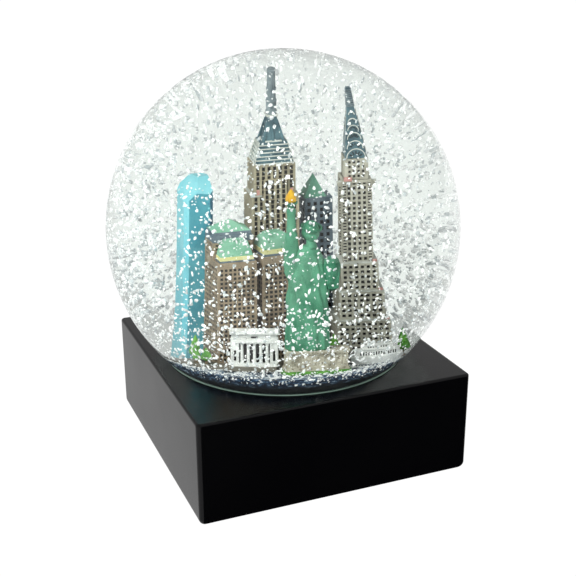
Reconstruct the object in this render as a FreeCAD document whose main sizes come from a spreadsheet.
import FreeCAD, Part
import math
import os
import Sketcher

# Water globe on a square block: a blown glass ball closed by a rubber stopper, with a cast and
# painted skyline under water and loose snow. Millimetres, +Z up. The origin is the middle of the
# underside, on what the globe stands on. The front of the block faces -Y.

doc = FreeCAD.newDocument("snow_globe")
sheet = doc.addObject("Spreadsheet::Sheet", "dims")
exported = []

# ---- driving dimensions: name, value, meaning ----
SIZES = [
    ("base_height", 30.3, "block top above the table"),
    ("base_wall", 4.75, "thinnest wood beside the seat"),
    ("base_top_round", 0.7, "radius round the top face"),
    ("base_edge_round", 1.2, "radius of the four upright edges"),
    ("base_foot_round", 2.4, "radius round the underside"),
    ("felt_inset", 4.25, "felt pad in from the block's side"),
    ("felt_thick", 1.3, "felt pad thickness"),
    ("felt_proud", 0.3, "how far the felt stands below the block"),
    ("seat_depth", 14.8, "seat for the neck, below the block's top"),
    ("seat_gap", 0.3, "ball to the rim of the seat"),
    ("bed_thick", 0.5, "glue under the stopper"),
    ("bed_inset", 0.6, "glue in from the flange's edge"),
    ("ball_radius", 50.0, "glass ball, outside"),
    ("ball_wall", 1.6, "glass thickness of the ball"),
    ("neck_radius", 32.0, "neck, outside"),
    ("neck_wall", 1.8, "glass thickness of the neck"),
    ("flange_lip", 1.4, "stopper flange beyond the neck"),
    ("flange_thick", 3.2, "stopper flange under the neck's rim"),
    ("plug_height", 11.4, "stopper inside the neck"),
    ("rib_depth", 0.7, "depth of the stopper's sealing grooves"),
    ("rib_width", 1.5, "width of one sealing groove"),
    ("rib_pitch", 3.0, "spacing of the sealing grooves"),
    ("seal_wall", 3.0, "sealant between the neck and the wood"),
    ("seal_drop", 1.0, "sealant below the neck's rim"),
    ("seal_rise", 6.4, "sealant above the neck's rim"),
    ("sea_gap", 0.6, "sea disc to the inside of the neck it goes in through"),
    ("sea_thick", 6.4, "cast sea disc"),
    ("ripple_depth", 0.5, "ripples at the rim of the sea"),
    ("ripple_band", 3.6, "width of the rippled rim"),
    ("plot_thick", 1.0, "ground plate under the buildings"),
    ("lawn_thick", 0.6, "lawn under the pedestal"),
    ("lawn_margin", 0.5, "lawn beyond the pedestal"),
    ("tower_turn", -6.0, "most buildings face a little left of the block's front"),
]

# ---- sizes that follow from them: what fits together shares one value ----
SEAT_RADIUS = "(dims.neck_radius + dims.seal_wall)"
BASE_SIDE = "(2 * (%s + dims.base_wall))" % SEAT_RADIUS
FELT_SIDE = "(%s - 2 * dims.felt_inset)" % BASE_SIDE
SEAT_FLOOR = "(dims.base_height - dims.seat_depth)"
NECK_BORE = "(dims.neck_radius - dims.neck_wall)"
NECK_FOOT = "(%s + dims.bed_thick + dims.flange_thick)" % SEAT_FLOOR
FLANGE_RADIUS = "(dims.neck_radius + dims.flange_lip)"
STOPPER_TOP = "(%s + dims.plug_height)" % NECK_FOOT
BALL_MIDDLE = "(dims.base_height + sqrt(dims.ball_radius^2 - (%s - dims.seat_gap)^2))" % SEAT_RADIUS
BALL_HOLLOW = "(dims.ball_radius - dims.ball_wall)"
SEA_RADIUS = "(%s - dims.sea_gap)" % NECK_BORE
SEA_LEVEL = "(%s + dims.sea_thick)" % STOPPER_TOP
GROUND = "(%s + dims.plot_thick)" % SEA_LEVEL
LAWN = "(%s + dims.lawn_thick)" % SEA_LEVEL


def fill_sheet(rows, start):
    for number, (name, value, meaning) in enumerate(rows, start):
        sheet.set("A%d" % number, meaning)
        sheet.set("B%d" % number, str(value))
        sheet.setAlias("B%d" % number, name)
    doc.recompute()
    return start + len(rows)


next_row = fill_sheet(SIZES, 1)


def number(expression):
    """The value of an expression over the sheet's names."""
    return float(sheet.evalExpression(expression))


# ---- small helpers for bound features ----
def body(name):
    made = doc.addObject("PartDesign::Body", name)
    made.Label = name
    exported.append(made)
    return made


def finish(solid, name):
    """A primitive or boolean result becomes a sub-part with its own label."""
    solid.Label = name
    exported.append(solid)
    return solid


def place(thing, x="0", y="0", z="0", turn="0"):
    thing.setExpression("Placement", "placement(vector(%s; %s; %s); rotation(vector(0; 0; 1); %s))"
                        % (x, y, z, turn))
    return thing


def sketch(owner, name, role="XY_Plane", lift="0"):
    made = owner.newObject("Sketcher::SketchObject", name)
    support = [f for f in owner.Origin.OriginFeatures if f.Role == role][0]
    made.AttachmentSupport = [(support, "")]
    made.MapMode = "FlatFace"
    made.setExpression("AttachmentOffset.Base.z", lift)
    return made


def outline(profile, corners):
    """A closed run of straight lines with every corner bound to the sheet."""
    spots = [FreeCAD.Vector(number(x), number(y), 0) for x, y in corners]
    first = profile.GeometryCount
    count = len(corners)
    for i in range(count):
        profile.addGeometry(Part.LineSegment(spots[i], spots[(i + 1) % count]))
    for i in range(count):
        follower = first + (i + 1) % count
        profile.addConstraint(Sketcher.Constraint("Coincident", first + i, 2, follower, 1))
    for i, (x, y) in enumerate(corners):
        for kind, expression, value in (("DistanceX", x, spots[i].x), ("DistanceY", y, spots[i].y)):
            made = profile.addConstraint(Sketcher.Constraint(kind, -1, 1, first + i, 1, value))
            profile.setExpression("Constraints[%d]" % made, expression)
    return profile


def rectangle(profile, width, depth, x="0", y="0"):
    """A rectangle about (x, y)."""
    left, right = "%s - (%s) / 2" % (x, width), "%s + (%s) / 2" % (x, width)
    near, far = "%s - (%s) / 2" % (y, depth), "%s + (%s) / 2" % (y, depth)
    return outline(profile, [(left, near), (right, near), (right, far), (left, far)])


def ring(profile, radius, x="0", y="0"):
    centre = FreeCAD.Vector(number(x), number(y), 0)
    up = FreeCAD.Vector(0, 0, 1)
    made = profile.addGeometry(Part.Circle(centre, up, number(radius)))
    size = profile.addConstraint(Sketcher.Constraint("Radius", made, number(radius)))
    profile.setExpression("Constraints[%d]" % size, radius)
    across = profile.addConstraint(Sketcher.Constraint("DistanceX", -1, 1, made, 3, centre.x))
    profile.setExpression("Constraints[%d]" % across, x)
    along = profile.addConstraint(Sketcher.Constraint("DistanceY", -1, 1, made, 3, centre.y))
    profile.setExpression("Constraints[%d]" % along, y)
    return profile


def pad(owner, profile, length):
    made = owner.newObject("PartDesign::Pad", "Pad")
    made.Profile = profile
    made.setExpression("Length", length)
    return made


def pocket(owner, profile, length, upward=False):
    """A pocket from the sketch plane, down by default; it has to take something away."""
    doc.recompute()
    before = owner.Shape.Volume
    made = owner.newObject("PartDesign::Pocket", "Pocket")
    made.Profile = profile
    made.setExpression("Length", length)
    made.Reversed = upward
    doc.recompute()
    if not owner.Shape.Volume < before:
        raise RuntimeError("a pocket of %s cuts nothing" % owner.Label)
    return made


def block(owner, name, width, depth, height, x="0", y="0", lift="0"):
    """A rectangular storey added to a body."""
    return pad(owner, rectangle(sketch(owner, name, lift=lift), width, depth, x, y), height)


def hip(owner, name, low, high, lift, height, x="0", y="0", top_x=None, top_y=None):
    """A sloped tier or hipped roof: a straight loft between two rectangles."""
    bottom = rectangle(sketch(owner, name + "_low", lift=lift), low[0], low[1], x, y)
    top = rectangle(sketch(owner, name + "_high", lift="%s + %s" % (lift, height)),
                    high[0], high[1], top_x or x, top_y or y)
    made = owner.newObject("PartDesign::AdditiveLoft", name)
    made.Profile = bottom
    made.Sections = [top]
    made.Ruled = True
    return made


def revolve(owner, profile):
    """A full turn of a sketch on the XZ plane about the body's own Z axis."""
    made = owner.newObject("PartDesign::Revolution", "Revolution")
    made.Profile = profile
    made.ReferenceAxis = (profile, ["V_Axis"])
    made.Angle = 360
    return made


def cylinder(name, radius, height, x="0", y="0", z="0"):
    made = doc.addObject("Part::Cylinder", name)
    made.setExpression("Radius", radius)
    made.setExpression("Height", height)
    return place(made, x, y, z)


def cone(name, low, high, height, x="0", y="0", z="0"):
    made = doc.addObject("Part::Cone", name)
    made.setExpression("Radius1", low)
    made.setExpression("Radius2", high)
    made.setExpression("Height", height)
    return place(made, x, y, z)


def sphere(name, radius, x="0", y="0", z="0"):
    made = doc.addObject("Part::Sphere", name)
    made.setExpression("Radius", radius)
    return place(made, x, y, z)


def cut(name, base, tool):
    made = doc.addObject("Part::Cut", name)
    made.Base = base
    made.Tool = tool
    return made


def fuse(name, pieces):
    made = doc.addObject("Part::MultiFuse", name)
    made.Shapes = pieces
    return made


def group(name, pieces):
    """Like pieces that don't touch share one node."""
    made = doc.addObject("Part::Compound", name)
    made.Links = pieces
    return made


# ---- block: lacquered wood, bored from above for the ball and hollowed below for the felt ----
def edges_where(owner, wanted):
    """Names of the body's edges whose box passes the test."""
    return ["Edge%d" % i for i, edge in enumerate(owner.Shape.Edges, 1) if wanted(edge.BoundBox)]


def make_base():
    made = body("base_block")
    foot = "dims.felt_proud"
    block(made, "square", BASE_SIDE, BASE_SIDE, "dims.base_height - %s" % foot, lift=foot)
    doc.recompute()
    box = made.Shape.BoundBox
    near = (box.ZMax - box.ZMin) / 100
    round_edges(made, edges_where(made, lambda b: b.ZLength > box.ZLength / 2), "dims.base_edge_round")
    round_edges(made, edges_where(made, lambda b: b.ZMin > box.ZMax - near), "dims.base_top_round")
    round_edges(made, edges_where(made, lambda b: b.ZMax < box.ZMin + near),
                "min(dims.base_foot_round; 0.8 * dims.felt_inset)")
    pocket(made, ring(sketch(made, "seat", lift="dims.base_height"), SEAT_RADIUS), "dims.seat_depth")
    recess = rectangle(sketch(made, "felt_recess", lift=foot), FELT_SIDE, FELT_SIDE)
    pocket(made, recess, "dims.felt_thick - dims.felt_proud", upward=True)


def round_edges(owner, names, radius):
    base = owner.Tip
    made = owner.newObject("PartDesign::Fillet", "Fillet")
    made.Base = (base, names)
    made.setExpression("Radius", radius)
    doc.recompute()
    return made


make_base()

felt = body("felt_pad")
block(felt, "felt", FELT_SIDE, FELT_SIDE, "dims.felt_thick")


# ---- ball: one blown piece with a ground neck that points down into the block ----
def make_ball():
    shoulder = "%s - dims.ball_radius / 2" % BALL_MIDDLE
    # the neck is open: its hollow starts below both its rim and the ball's lowest point
    below = "min(%s - dims.ball_radius; %s) - dims.neck_wall" % (BALL_MIDDLE, NECK_FOOT)
    outside = fuse("ball_outside", [
        sphere("ball_skin", "dims.ball_radius", z=BALL_MIDDLE),
        cylinder("neck_skin", "dims.neck_radius", "%s - %s" % (shoulder, NECK_FOOT), z=NECK_FOOT),
    ])
    inside = fuse("ball_inside", [
        sphere("ball_hollow", BALL_HOLLOW, z=BALL_MIDDLE),
        cylinder("neck_hollow", NECK_BORE, "%s - (%s)" % (shoulder, below), z=below),
    ])
    finish(cut("glass_globe", outside, inside), "glass_globe")


make_ball()


# ---- closure: rubber stopper, the glue under it and the sealant round the neck ----
def make_closure():
    stopper = body("rubber_stopper")
    foot = "%s + dims.bed_thick" % SEAT_FLOOR
    corners = [("0", foot), (FLANGE_RADIUS, foot), (FLANGE_RADIUS, NECK_FOOT), (NECK_BORE, NECK_FOOT)]
    deep = "%s - dims.rib_depth" % NECK_BORE
    for n in range(3):
        low = "%s + %d * dims.rib_pitch + dims.rib_width" % (NECK_FOOT, n)
        high = "%s + dims.rib_width" % low
        corners += [(NECK_BORE, low), (deep, low), (deep, high), (NECK_BORE, high)]
    corners += [(NECK_BORE, STOPPER_TOP), ("0", STOPPER_TOP)]
    revolve(stopper, outline(sketch(stopper, "section", "XZ_Plane"), corners))

    bed = body("glue_bed")
    disc = ring(sketch(bed, "disc", lift=SEAT_FLOOR), "%s - dims.bed_inset" % FLANGE_RADIUS)
    pad(bed, disc, "dims.bed_thick")

    seal = body("sealant_ring")
    # the lower part goes round the flange, the upper part round the neck
    lower = ("lower", FLANGE_RADIUS, "%s - dims.seal_drop" % NECK_FOOT, "dims.seal_drop")
    upper = ("upper", "dims.neck_radius", NECK_FOOT, "dims.seal_rise")
    for name, bore, low, height in (lower, upper):
        wall = sketch(seal, name, lift=low)
        ring(wall, SEAT_RADIUS)
        ring(wall, bore)
        pad(seal, wall, height)


make_closure()


# ---- sea: a cast disc glued on the stopper, with ripples running round its rim ----
def make_sea():
    sea = body("sea_disc")
    trough = "%s - dims.ripple_depth" % SEA_LEVEL
    corners = [("0", STOPPER_TOP), (SEA_RADIUS, STOPPER_TOP), (SEA_RADIUS, trough)]
    # crests and troughs: (share of the rippled band in from the rim, height)
    ripples = [(0.14, SEA_LEVEL), (0.33, trough), (0.53, SEA_LEVEL), (0.72, trough), (1, SEA_LEVEL)]
    for share, height in ripples:
        corners.append(("%s - %s * dims.ripple_band" % (SEA_RADIUS, share), height))
    corners.append(("0", SEA_LEVEL))
    revolve(sea, outline(sketch(sea, "section", "XZ_Plane"), corners))


make_sea()

# ---- ground plate: its shore runs past the feet of the buildings and leaves room for the pedestal ----
# corners as shares of the sea's radius, from the front left round by the right
SHORE = [(-0.568, -0.243), (-0.223, -0.399), (-0.166, -0.284), (0.324, -0.223), (0.412, -0.189),
         (0.865, -0.216), (0.878, 0.017), (0.777, 0.287), (0.581, 0.527), (0.297, 0.568),
         (-0.095, 0.601), (-0.412, 0.588), (-0.696, 0.581), (-0.757, 0.287), (-0.723, 0)]
plot = body("city_plot")
shore = outline(sketch(plot, "shore", lift=SEA_LEVEL),
                [("%s * %s" % (SEA_RADIUS, x), "%s * %s" % (SEA_RADIUS, y)) for x, y in SHORE])
pad(plot, shore, "dims.plot_thick")

# ---- buildings: footprint (width, depth), place of its middle (x, y), turn and heights ----
BUILDINGS = [
    ("hall_width", 10.4, "temple hall, along its front"),
    ("hall_depth", 4.2, "temple hall, front to back"),
    ("hall_height", 8.0, "temple hall above the ground"),
    ("hall_x", -9.6, "temple hall's middle"),
    ("hall_y", -6.7, "temple hall's middle"),
    ("hall_turn", -24.0, "temple hall's heading"),
    ("left_width", 8.9, "left brown tower"),
    ("left_depth", 8.8, "left brown tower"),
    ("left_x", -10.85, "left brown tower's middle"),
    ("left_y", 3.0, "left brown tower's middle"),
    ("left_eaves", 22.2, "its front roof above the ground"),
    ("left_top", 26.6, "its rear part above the ground"),
    ("slab_thick", 1.5, "slab on its rear part"),
    ("pyramid_rise", 2.2, "low pyramid on the slab"),
    ("mansard_band", 1.1, "pale band under its front roof"),
    ("mansard_rise", 3.6, "its front roof"),
    ("right_width", 8.2, "right brown tower"),
    ("right_depth", 6.8, "right brown tower"),
    ("twin_gap", 1.0, "between the two brown towers"),
    ("right_y", 1.9, "right brown tower's middle"),
    ("right_eaves", 22.6, "right brown tower above the ground"),
    ("dome_band", 1.4, "pale band under its roof"),
    ("dome_rise", 3.4, "its roof"),
    ("mast_width", 10.2, "tall stepped tower"),
    ("mast_depth", 7.0, "tall stepped tower"),
    ("mast_x", 1.95, "tall tower's middle"),
    ("mast_y", 11.2, "tall tower's middle"),
    ("mast_turn", -9.0, "tall tower's heading"),
    ("mast_shoulder", 33.2, "its setback above the ground"),
    ("mast_crown", 39.8, "foot of its crown above the ground"),
    ("mast_tier", 2.3, "height of one crown tier"),
    ("buttress_width", 5.0, "buttressed foot of the mast"),
    ("buttress_depth", 4.2, "buttressed foot of the mast"),
    ("buttress_height", 5.7, "buttressed foot of the mast"),
    ("mast_tube", 1.05, "radius of the mast"),
    ("mast_collar", 1.75, "tapered foot of the mast's tube"),
    ("mast_height", 10.3, "mast above its buttresses"),
    ("spire_width", 6.3, "slim spired tower"),
    ("spire_x", 17.25, "spired tower's middle"),
    ("spire_y", 2.3, "spired tower's middle"),
    ("spire_turn", -12.0, "spired tower's heading"),
    ("spire_ledge", 37.0, "its ledge above the ground"),
    ("spire_collar", 4.6, "windowed storey above the ledge"),
    ("spire_stub", 1.0, "height of the little blocks under the ledge"),
    ("spire_rise", 15.6, "its crown and needle"),
    ("spire_lean", -1.2, "sideways lean of the needle"),
    ("rear_width", 6.0, "small tower behind"),
    ("rear_depth", 4.6, "small tower behind"),
    ("rear_x", 12.1, "small tower's middle"),
    ("rear_y", 11.9, "small tower's middle"),
    ("rear_top", 30.8, "small tower above the ground"),
    ("rear_rise", 4.6, "its pyramid"),
    ("roof_point", 0.05, "flat left at the point of a pyramid"),
    ("prism_width", 6.4, "blue glass tower"),
    ("prism_x", -15.2, "blue tower's middle"),
    ("prism_y", 11.95, "blue tower's middle"),
    ("prism_turn", -8.0, "blue tower's heading"),
    ("prism_top", 37.7, "its peak above the ground"),
    ("prism_chamfer", 0.9, "its cut corners"),
    ("plinth_width", 14.8, "pedestal of the figure"),
    ("plinth_depth", 6.8, "pedestal of the figure"),
    ("plinth_height", 5.0, "pedestal of the figure"),
    ("plinth_x", 1.52, "pedestal's middle"),
    ("plinth_y", -15.6, "pedestal's middle"),
    ("plinth_turn", -15.0, "heading of the pedestal and figure"),
    ("robe_width", 9.8, "figure's hem"),
    ("robe_depth", 5.4, "figure's hem"),
    ("robe_height", 23.9, "figure, hem to shoulders"),
    ("robe_x", -2.0, "figure off the pedestal's middle"),
    ("neck_height", 1.0, "figure's neck"),
    ("neck_sink", 0.1, "head into the neck"),
    ("head_radius", 2.2, "figure's head"),
    ("head_x", 0.9, "head off the figure's middle"),
    ("band_thick", 0.5, "band round the head"),
    ("arm_radius", 1.25, "raised arm"),
    ("arm_length", 13.4, "raised arm"),
    ("arm_drop", 4.5, "raised arm starts below the shoulders"),
    ("arm_x", -3.5, "raised arm off the figure's middle"),
    ("cup_height", 1.2, "cup of the torch"),
    ("flame_height", 3.0, "flame of the torch"),
    ("sleeve_width", 2.4, "lower end of the sleeve that holds the tablet"),
    ("sleeve_x", 5.9, "sleeve off the figure's middle"),
    ("ferry_length", 12.0, "ferry"),
    ("ferry_beam", 3.8, "ferry"),
    ("ferry_x", 17.0, "ferry's middle"),
    ("ferry_y", -10.9, "ferry's middle"),
    ("hull_height", 2.0, "ferry's hull above the sea"),
    ("lower_deck", 1.8, "ferry's lower deckhouse"),
    ("upper_deck", 1.2, "ferry's upper deckhouse"),
    ("tree_radius", 1.35, "a tree's crown"),
    ("tree_height", 4.6, "a common tree"),
    ("snow_count", 54, "loose flakes"),
    ("snow_size", 1.5, "across a flake"),
    ("snow_thick", 0.35, "a flake"),
    ("drift_count", 20, "settled flakes on the sea's rim"),
    ("water_gap", 0.3, "room between the turning water and what it passes"),
    ("sweep_margin", 1.0, "the skyline's swept outline above its tops"),
]
next_row = fill_sheet(BUILDINGS, next_row)

RIGHT_X = "(dims.left_x + (dims.left_width + dims.right_width) / 2 + dims.twin_gap)"
CROWN_TOP = "(dims.mast_crown + 2 * dims.mast_tier)"
MAST_FOOT = "(%s + dims.buttress_height)" % CROWN_TOP
MAST_TIP = "(%s + dims.mast_height)" % MAST_FOOT
SPIRE_CROWN = "(dims.spire_ledge + dims.spire_collar)"
SPIRE_TIP = "(%s + dims.spire_rise)" % SPIRE_CROWN


def stand(thing, name, lift=GROUND, turn=None):
    """Puts a sub-part, drawn about its own footprint, where its building stands."""
    return place(thing, "dims.%s_x" % name, "dims.%s_y" % name, lift, turn or "dims.%s_turn" % name)


# ---- temple hall: steps and walls, a row of columns, and a roof with a low gable ----
def make_hall():
    wide, deep, high = "dims.hall_width", "dims.hall_depth", "dims.hall_height"
    step, eaves = "0.09 * %s" % high, "0.68 * %s" % high
    portico = "0.66 * %s" % wide
    wing = "(%s - %s) / 2" % (wide, portico)
    walls = stand(body("hall_walls"), "hall")
    block(walls, "steps", wide, deep, step)
    block(walls, "cella", wide, "0.62 * %s" % deep, "%s - %s" % (eaves, step),
          y="0.19 * %s" % deep, lift=step)
    for side, name in (("-", "left_wing"), ("+", "right_wing")):
        block(walls, name, wing, "0.4 * %s" % deep, "%s - %s" % (eaves, step),
              x="0 %s (%s + %s) / 2" % (side, portico, wing), y="-0.22 * %s" % deep, lift=step)
    columns = stand(body("hall_columns"), "hall")
    count = 5
    for n in range(count):
        shaft = sketch(columns, "column_%d" % n, lift=step)
        ring(shaft, "0.032 * %s" % wide, x="%s * %.3f" % (portico, (n + 0.5) / count - 0.5),
             y="-0.34 * %s" % deep)
        pad(columns, shaft, "%s - %s" % (eaves, step))
    roof = stand(body("hall_roof"), "hall")
    block(roof, "architrave", wide, deep, "0.1 * %s" % high, lift=eaves)
    block(roof, "attic", "0.97 * %s" % wide, "0.8 * %s" % deep, "0.16 * %s" % high,
          y="0.09 * %s" % deep, lift="0.78 * %s" % high)
    block(roof, "cornice", "1.06 * %s" % wide, "1.05 * %s" % deep, "0.06 * %s" % high,
          lift="0.94 * %s" % high)
    gable = sketch(roof, "gable", "XZ_Plane", lift="0.3 * %s" % deep)
    outline(gable, [("-0.31 * %s" % wide, "0.78 * %s" % high), ("0.31 * %s" % wide, "0.78 * %s" % high),
                    ("0", "0.92 * %s" % high)])
    pad(roof, gable, "0.2 * %s" % deep)


make_hall()


# ---- pair of brown towers: square shafts with painted green roofs ----
def make_twins():
    wide, deep = "dims.left_width", "dims.left_depth"
    left = stand(body("left_tower"), "left", turn="dims.tower_turn")
    rear_deep, rear_y = "0.62 * %s" % deep, "0.19 * %s" % deep
    block(left, "front", wide, deep, "dims.left_eaves")
    block(left, "rear", wide, rear_deep, "dims.left_top - dims.left_eaves", y=rear_y, lift="dims.left_eaves")
    # the slab and pyramid stand on the rear part, the mansard on the front part
    roofs = stand(body("left_roofs"), "left", turn="dims.tower_turn")
    block(roofs, "slab", wide, rear_deep, "dims.slab_thick", y=rear_y, lift="dims.left_top")
    hip(roofs, "pyramid", ("0.94 * %s" % wide, "0.58 * %s" % deep), ("dims.roof_point",) * 2,
        "dims.left_top + dims.slab_thick", "dims.pyramid_rise", y=rear_y)
    mansard = stand(body("left_mansard"), "left", turn="dims.tower_turn")
    block(mansard, "band", "0.9 * %s" % wide, "0.36 * %s" % deep, "dims.mansard_band",
          y="-0.31 * %s" % deep, lift="dims.left_eaves")
    hip(mansard, "slope", ("0.86 * %s" % wide, "0.33 * %s" % deep), ("0.56 * %s" % wide, "0.1 * %s" % deep),
        "dims.left_eaves + dims.mansard_band", "dims.mansard_rise", y="-0.295 * %s" % deep,
        top_y="-0.18 * %s" % deep)

    wide, deep = "dims.right_width", "dims.right_depth"
    right = place(body("right_tower"), RIGHT_X, "dims.right_y", GROUND)
    block(right, "shaft", wide, deep, "dims.right_eaves")
    dome = place(body("right_dome"), RIGHT_X, "dims.right_y", GROUND)
    block(dome, "band", "0.92 * %s" % wide, "0.92 * %s" % deep, "dims.dome_band", lift="dims.right_eaves")
    slope = "dims.right_eaves + dims.dome_band"
    hip(dome, "haunch", ("0.88 * %s" % wide, "0.88 * %s" % deep), ("0.7 * %s" % wide, "0.7 * %s" % deep),
        slope, "0.6 * dims.dome_rise")
    hip(dome, "cap", ("0.7 * %s" % wide, "0.7 * %s" % deep), ("0.3 * %s" % wide, "0.3 * %s" % deep),
        "%s + 0.6 * dims.dome_rise" % slope, "0.4 * dims.dome_rise")


make_twins()


# ---- tall stepped tower: a setback, a crown of sloped tiers and a tapered mast ----
def make_mast_tower():
    wide, deep = "dims.mast_width", "dims.mast_depth"
    shaft = stand(body("mast_tower"), "mast")
    block(shaft, "lower", wide, deep, "dims.mast_shoulder")
    block(shaft, "upper", "0.88 * %s" % wide, "0.86 * %s" % deep, "dims.mast_crown - dims.mast_shoulder",
          lift="dims.mast_shoulder")
    crown = stand(body("mast_crown"), "mast")
    # each tier is a little narrower than the one below it
    for n, (low, high) in enumerate([(0.84, 0.74), (0.72, 0.6)]):
        hip(crown, "tier_%d" % n, ("%s * %s" % (low, wide), "%s * %s" % (low, deep)),
            ("%s * %s" % (high, wide), "%s * %s" % (high, deep)),
            "dims.mast_crown + %d * dims.mast_tier" % n, "dims.mast_tier")
    hip(crown, "buttress", ("dims.buttress_width", "dims.buttress_depth"),
        ("0.52 * dims.buttress_width", "0.57 * dims.buttress_depth"), CROWN_TOP, "dims.buttress_height")
    mast = stand(body("mast_needle"), "mast")
    profile = sketch(mast, "section", "XZ_Plane")
    outline(profile, [("0", MAST_FOOT), ("1.15 * dims.mast_tube", MAST_FOOT),
                      ("1.05 * dims.mast_tube", "%s + dims.mast_collar" % MAST_FOOT),
                      ("0.86 * dims.mast_tube", MAST_TIP), ("0", MAST_TIP)])
    revolve(mast, profile)


make_mast_tower()


# ---- slim spired tower: stepped foot, plain shaft with a ledge, and a scalloped metal crown ----
def make_spire_tower():
    wide = "dims.spire_width"
    shaft = stand(body("spire_tower"), "spire")
    # storeys of the foot: (share of the shaft's width, share of the ledge's height where it stops)
    for n, (share, top) in enumerate([(1.75, 0.2), (1.5, 0.36), (1.25, 0.52)]):
        size = "%s * %s" % (share, wide)
        block(shaft, "foot_%d" % n, size, size, "%s * dims.spire_ledge" % top,
              x="0.1 * (%s - %s)" % (size, wide), y="-0.2 * (%s - %s)" % (size, wide))
    block(shaft, "shaft", wide, wide, "dims.spire_ledge")
    block(shaft, "collar", "0.8 * %s" % wide, "0.8 * %s" % wide, "dims.spire_collar", lift="dims.spire_ledge")
    for name, side in (("left_stub", "-0.55"), ("right_stub", "0.55")):
        block(shaft, name, "0.16 * %s" % wide, "0.2 * %s" % wide, "dims.spire_stub",
              x="%s * %s" % (side, wide), y="-0.3 * %s" % wide,
              lift="dims.spire_ledge - 1.4 * dims.spire_stub")
    crown = stand(body("spire_crown"), "spire")
    # the crown bows in and then runs out into the needle: shares of its rise and the shaft's width
    steps = [(0, 0.78), (0.3, 0.6), (0.55, 0.42), (0.72, 0.28), (1, 0.19)]
    for n, ((low, broad), (high, narrow)) in enumerate(zip(steps, steps[1:])):
        hip(crown, "flare_%d" % n, ("%s * %s" % (broad, wide),) * 2, ("%s * %s" % (narrow, wide),) * 2,
            "%s + %s * dims.spire_rise" % (SPIRE_CROWN, low), "%s * dims.spire_rise" % round(high - low, 3),
            x="%s * dims.spire_lean" % low, top_x="%s * dims.spire_lean" % high)


make_spire_tower()


# ---- small tower behind, with a green pyramid ----
def make_rear_tower():
    wide, deep = "dims.rear_width", "dims.rear_depth"
    shaft = stand(body("rear_tower"), "rear", turn="dims.tower_turn")
    block(shaft, "shaft", wide, deep, "dims.rear_top")
    roof = stand(body("rear_roof"), "rear", turn="dims.tower_turn")
    hip(roof, "pyramid", ("0.8 * %s" % wide, "0.9 * %s" % deep), ("dims.roof_point",) * 2,
        "dims.rear_top", "dims.rear_rise", x="-0.1 * %s" % wide)


make_rear_tower()


# ---- blue glass tower: a square shaft with cut corners and a top sliced by two slanted planes ----
def make_prism():
    wide = "dims.prism_width"
    half, nick = "%s / 2" % wide, "dims.prism_chamfer"
    shaft = stand(body("prism_shaft"), "prism")
    exported.remove(shaft)
    corners = []
    for sx, sy in ((-1, -1), (1, -1), (1, 1), (-1, 1)):
        along = ("%d * (%s - %s)" % (sx, half, nick), "%d * %s" % (sy, half))
        across = ("%d * %s" % (sx, half), "%d * (%s - %s)" % (sy, half, nick))
        corners += [across, along] if sx * sy > 0 else [along, across]
    pad(shaft, outline(sketch(shaft, "plan"), corners), "dims.prism_top")
    slices = []
    # (tilt axis x, tilt axis y, tilt): the long slope falls to the front left, the short one to the right
    for n, (ax, ay, tilt) in enumerate([(0.35, -0.94, 42.0), (0.94, 0.2, 34.0)]):
        tool = doc.addObject("Part::Box", "slice_%d" % n)
        for side in ("Length", "Width", "Height"):
            tool.setExpression(side, "6 * %s" % wide)
        shift = "placement(vector(-3 * %s; -3 * %s; 0); rotation(vector(0; 0; 1); 0))" % (wide, wide)
        tilted = "placement(vector(0.12 * %s; 0.1 * %s; dims.prism_top); " % (wide, wide)
        tilted += "rotation(vector(%s; %s; 0); %s))" % (ax, ay, tilt)
        stood = "placement(vector(dims.prism_x; dims.prism_y; %s); " % GROUND
        stood += "rotation(vector(0; 0; 1); dims.prism_turn))"
        tool.setExpression("Placement", "%s * %s * %s" % (stood, tilted, shift))
        slices.append(tool)
    once = cut("prism_once", shaft, slices[0])
    finish(cut("blue_tower", once, slices[1]), "blue_tower")


make_prism()


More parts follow.
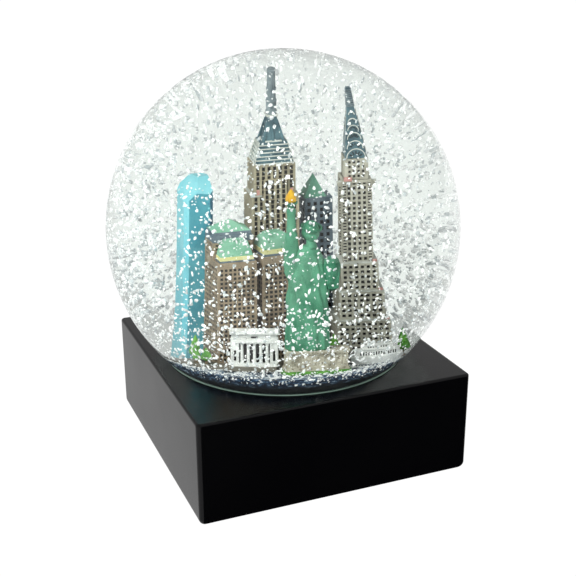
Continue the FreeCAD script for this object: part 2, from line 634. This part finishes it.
# ---- torch figure on its pedestal: robe, head with a band, raised arm, torch flame and tablet arm ----
def make_figure():
    wide, deep, high = "dims.plinth_width", "dims.plinth_depth", "dims.plinth_height"
    lawn = stand(body("lawn"), "plinth", SEA_LEVEL)
    block(lawn, "lawn", "%s + 2 * dims.lawn_margin" % wide, "%s + 1.6 * dims.lawn_margin" % deep,
          "dims.lawn_thick", y="-0.8 * dims.lawn_margin")
    plinth = stand(body("pedestal"), "plinth", LAWN)
    block(plinth, "footing", wide, deep, "0.25 * %s" % high)
    block(plinth, "die", "0.93 * %s" % wide, "0.92 * %s" % deep, "0.6 * %s" % high, lift="0.25 * %s" % high)
    block(plinth, "cap", "0.97 * %s" % wide, "0.97 * %s" % deep, "0.15 * %s" % high, lift="0.85 * %s" % high)

    floor = "%s + %s" % (LAWN, high)
    robe = stand(body("figure_robe"), "plinth", floor)
    tall = "dims.robe_height"
    # the robe narrows from hem to shoulders: shares of its height, width and depth
    rings = [(0, 1, 1), (0.55, 0.92, 0.85), (0.8, 0.88, 0.78), (1, 0.57, 0.56)]
    for n, ((low, wide_low, deep_low), (top, wide_top, deep_top)) in enumerate(zip(rings, rings[1:])):
        hip(robe, "fold_%d" % n, ("%s * dims.robe_width" % wide_low, "%s * dims.robe_depth" % deep_low),
            ("%s * dims.robe_width" % wide_top, "%s * dims.robe_depth" % deep_top),
            "%s * %s" % (low, tall), "%s * %s" % (round(top - low, 3), tall), x="dims.robe_x")

    def at_figure(x, z):
        """A point in the middle plane of the figure, turned with the pedestal."""
        turned_x = "dims.plinth_x + (%s) * cos(dims.plinth_turn)" % x
        turned_y = "dims.plinth_y + (%s) * sin(dims.plinth_turn)" % x
        return {"x": turned_x, "y": turned_y, "z": "%s + %s" % (floor, z)}

    chin = "%s + dims.neck_height - dims.neck_sink" % tall
    over = "dims.robe_x + dims.head_x"
    neck = cylinder("neck", "0.5 * dims.head_radius", "dims.neck_height", **at_figure(over, tall))
    skull = sphere("skull", "dims.head_radius", **at_figure(over, chin + " + dims.head_radius"))
    band = cylinder("band", "1.35 * dims.head_radius", "dims.band_thick",
                    **at_figure(over, chin + " + 1.25 * dims.head_radius"))
    finish(fuse("figure_head", [neck, skull, band]), "figure_head")

    reach = "dims.robe_x + dims.arm_x"
    arm_foot = "%s - dims.arm_drop" % tall
    arm_top = "%s + dims.arm_length" % arm_foot
    arm = cone("upper_arm", "dims.arm_radius", "0.8 * dims.arm_radius", "dims.arm_length",
               **at_figure(reach, arm_foot))
    cup = cone("torch_cup", "0.7 * dims.arm_radius", "1.2 * dims.arm_radius", "dims.cup_height",
               **at_figure(reach, arm_top))
    finish(cut("raised_arm", fuse("arm_and_cup", [arm, cup]), clone_of(robe)), "raised_arm")

    flame = cone("torch_flame", "dims.arm_radius", "0.2 * dims.arm_radius", "dims.flame_height",
                 **at_figure(reach, "%s + dims.cup_height" % arm_top))
    finish(flame, "torch_flame")

    sleeve = stand(body("tablet_sleeve"), "plinth", floor)
    exported.remove(sleeve)
    narrow = "dims.sleeve_width"
    hip(sleeve, "sleeve", (narrow, narrow), ("1.5 * %s" % narrow, "1.17 * %s" % narrow), "0.57 * %s" % tall,
        "0.32 * %s" % tall, x="dims.robe_x + dims.sleeve_x", y="-0.12 * %s" % narrow)
    finish(cut("tablet_arm", sleeve, clone_of(robe)), "tablet_arm")


def clone_of(thing):
    """A linked copy, so that a piece can be fitted against another that stays whole."""
    made = doc.addObject("App::Link", "fit")
    made.LinkedObject = thing
    made.LinkTransform = True
    return made


make_figure()


# ---- ferry: a double-ended hull with a two-deck house ----
def make_ferry():
    long, beam = "dims.ferry_length", "dims.ferry_beam"
    hull = place(body("ferry_hull"), "dims.ferry_x", "dims.ferry_y", SEA_LEVEL)
    plan = sketch(hull, "deck")
    outline(plan, [("-0.5 * %s" % long, "0"), ("-0.38 * %s" % long, "-0.4 * %s" % beam),
                   ("-0.2 * %s" % long, "-0.5 * %s" % beam), ("0.3 * %s" % long, "-0.5 * %s" % beam),
                   ("0.44 * %s" % long, "-0.36 * %s" % beam), ("0.5 * %s" % long, "0"),
                   ("0.44 * %s" % long, "0.36 * %s" % beam), ("0.3 * %s" % long, "0.5 * %s" % beam),
                   ("-0.2 * %s" % long, "0.5 * %s" % beam), ("-0.38 * %s" % long, "0.4 * %s" % beam)])
    pad(hull, plan, "dims.hull_height")
    house = place(body("ferry_house"), "dims.ferry_x", "dims.ferry_y", "%s + dims.hull_height" % SEA_LEVEL)
    block(house, "lower", "0.8 * %s" % long, "0.76 * %s" % beam, "dims.lower_deck")
    block(house, "upper", "0.56 * %s" % long, "0.6 * %s" % beam, "dims.upper_deck", lift="dims.lower_deck")


make_ferry()


# ---- trees: pointed crowns on short trunks, beside the buildings ----
def make_trees():
    # (building, shares of its width off its middle in x and y, share of a common tree's height)
    spots = [("left", -0.95, -0.02, 1.3), ("left", -0.89, -0.49, 0.8),
             ("spire", -1.22, -1.08, 1.1), ("spire", 1.1, -1.06, 1.2)]
    trees = []
    for n, (beside, along, across, share) in enumerate(spots):
        tall = "%s * dims.tree_height" % share
        x = "dims.%s_x + %s * dims.%s_width" % (beside, along, beside)
        y = "dims.%s_y + %s * dims.%s_width" % (beside, across, beside)
        trunk = cylinder("trunk_%d" % n, "0.25 * dims.tree_radius", "0.4 * %s" % tall, x, y, GROUND)
        leaves = cone("leaves_%d" % n, "dims.tree_radius", "0.2 * dims.tree_radius", "0.75 * %s" % tall,
                      x, y, "%s + 0.25 * %s" % (GROUND, tall))
        trees.append(fuse("tree_%d" % n, [trunk, leaves]))
    finish(group("trees", trees), "trees")


make_trees()


# ---- snow: thin five-sided plates. Loose ones hang in the water, settled ones lie on the sea ----
GOLDEN_ANGLE = math.radians(137.508)


def flake(size, thick, spot, lean, spin):
    """One plate about its own middle, then leant, spun and moved to its spot."""
    turns = [2 * math.pi * k / 5 for k in range(5)]
    rim = [FreeCAD.Vector(size / 2 * math.cos(a), size / 2 * math.sin(a), -thick / 2) for a in turns]
    plate = Part.Face(Part.makePolygon(rim + rim[:1])).extrude(FreeCAD.Vector(0, 0, thick))
    plate.rotate(FreeCAD.Vector(), FreeCAD.Vector(1, 0, 0), lean)
    plate.rotate(FreeCAD.Vector(), FreeCAD.Vector(0, 0, 1), spin)
    plate.translate(spot)
    return plate


def make_snow():
    count = int(number("dims.snow_count"))
    size, thick = number("dims.snow_size"), number("dims.snow_thick")
    ball = number(BALL_HOLLOW)
    middle = number(BALL_MIDDLE)
    plates = []
    for n in range(count):
        share = (n + 0.5) / count
        rise = ball * (0.86 - 1.32 * share)
        near = number(SEA_RADIUS) + size
        far = math.sqrt(ball ** 2 - rise ** 2) - 1.5 * size
        reach = near + (far - near) * (0.5 + 0.45 * math.sin(7.0 * n))
        if far < near:
            reach = far * (0.75 + 0.2 * math.sin(7.0 * n))
        angle = n * GOLDEN_ANGLE
        spot = FreeCAD.Vector(reach * math.cos(angle), reach * math.sin(angle), middle + rise)
        plates.append(flake(size, thick, spot, 25 + 40 * (n % 4), math.degrees(angle)))
    loose = doc.addObject("Part::Feature", "snow_flakes")
    loose.Shape = Part.makeCompound(plates)
    finish(loose, "snow_flakes")

    count = int(number("dims.drift_count"))
    reach = number("%s - dims.ripple_band" % SEA_RADIUS) - size
    low = number(SEA_LEVEL) + thick / 2
    plates = []
    for n in range(count):
        angle = math.radians(232 + 76 * n / count)
        spot = FreeCAD.Vector(reach * math.cos(angle), reach * math.sin(angle), low)
        plates.append(flake(size, thick, spot, 0, 40 * n))
    drift = doc.addObject("Part::Feature", "settled_snow")
    drift.Shape = Part.makeCompound(plates)
    finish(drift, "settled_snow")
    return loose


loose_snow = make_snow()


# ---- water: fills the ball round the skyline's swept outline, with room for each flake ----
def make_water(flakes):
    whole = sphere("water_ball", "%s - dims.water_gap" % BALL_HOLLOW, z=BALL_MIDDLE)
    core = body("water_core")
    exported.remove(core)
    # the skyline's outline as it would sweep round: (share of the sea's radius, height above the ground)
    steps = [(1, "dims.hull_height"), (0.953, "0.29 * dims.spire_ledge"), (0.878, "dims.prism_top"),
             (0.764, SPIRE_TIP), (0.527, MAST_TIP)]
    low = "%s - dims.ball_radius" % BALL_MIDDLE
    floor = "%s + dims.water_gap" % STOPPER_TOP
    corners = [("0", low), ("dims.ball_radius", low), ("dims.ball_radius", floor),
               ("%s + dims.water_gap" % SEA_RADIUS, floor)]
    for n, (share, rise) in enumerate(steps):
        top = "%s + %s + dims.sweep_margin" % (GROUND, rise)
        for reach in [share] + [later for later, _ in steps[n + 1:n + 2]]:
            corners.append(("%s * %s + dims.water_gap" % (reach, SEA_RADIUS), top))
    corners.append(("0", "%s + %s + dims.sweep_margin" % (GROUND, MAST_TIP)))
    revolve(core, outline(sketch(core, "section", "XZ_Plane"), corners))
    around = cut("water_around", whole, core)
    finish(cut("water_fill", around, flakes), "water_fill")


make_water(loose_snow)


# ---- checks, then one file for each sub-part ----
def check_and_write():
    doc.recompute()
    for thing in doc.Objects:
        if "Invalid" in thing.State or "Error" in thing.State:
            raise RuntimeError("%s did not build: %s" % (thing.Label, thing.State))
    for thing in exported:
        shape = thing.Shape
        if shape.isNull() or not shape.isValid() or not shape.Solids:
            raise RuntimeError("%s has no sound solid" % thing.Label)
        if min(solid.Volume for solid in shape.Solids) <= 0:
            raise RuntimeError("%s has an empty solid" % thing.Label)
    os.makedirs("parts", exist_ok=True)
    for thing in exported:
        thing.Shape.exportStep("parts/%s.step" % thing.Label)
        print("%-16s %2d solids %10.1f mm3" % (thing.Label, len(thing.Shape.Solids), thing.Shape.Volume))


check_and_write()
